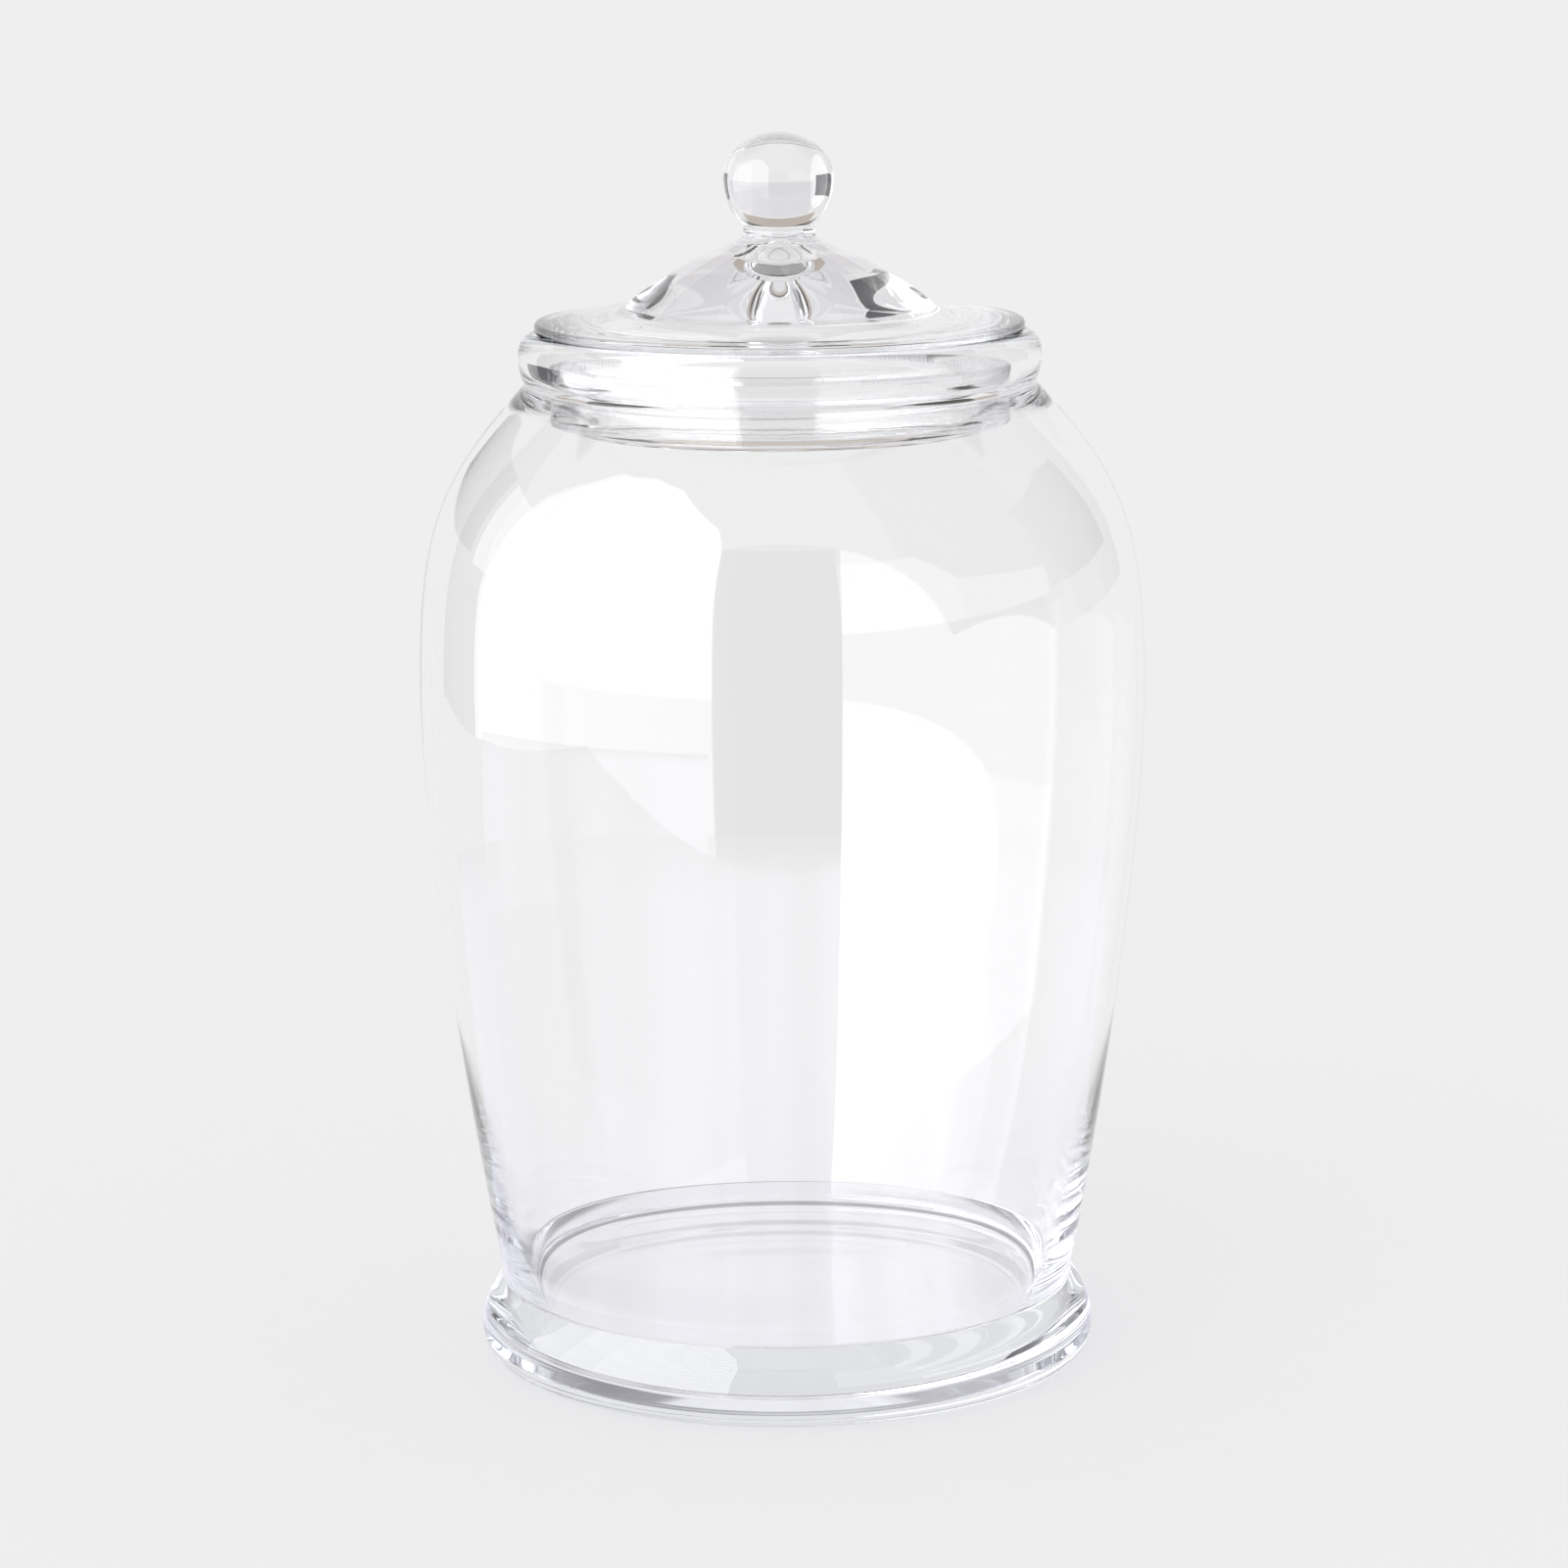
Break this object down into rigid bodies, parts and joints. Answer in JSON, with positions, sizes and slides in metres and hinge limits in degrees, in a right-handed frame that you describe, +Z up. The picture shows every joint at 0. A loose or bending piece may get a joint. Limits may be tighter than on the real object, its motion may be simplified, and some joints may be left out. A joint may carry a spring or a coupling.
{
  "type": "lidded glass canister",
  "caption": "Tall clear glass canister with a full-bellied body on a thick round foot, a rolled lip and a domed lid with a ball knob and a clear seal ring.",
  "frame": {"origin": "centre of the ring that the foot stands on", "axes": "+Z up along the canister's axis; the canister looks the same from every side"},
  "size_m": [0.216, 0.216, 0.3678],
  "materials": {
    "jar_glass": "clear soda-lime glass, blown and fire-polished",
    "lid_glass": "clear soda-lime glass, blown and fire-polished, with a solid ball knob",
    "seal_silicone": "clear moulded silicone, smooth"
  },
  "bodies": {
    "jar": {"jar": "jar_glass"},
    "lid": {"lid": "lid_glass", "seal_ring": "seal_silicone"}
  },
  "joints": [
    {"name": "lid_lift", "type": "slide", "parent": "jar", "child": "lid", "axis": [0, 0, 1], "range_m": [0, 0.1]}
  ]
}
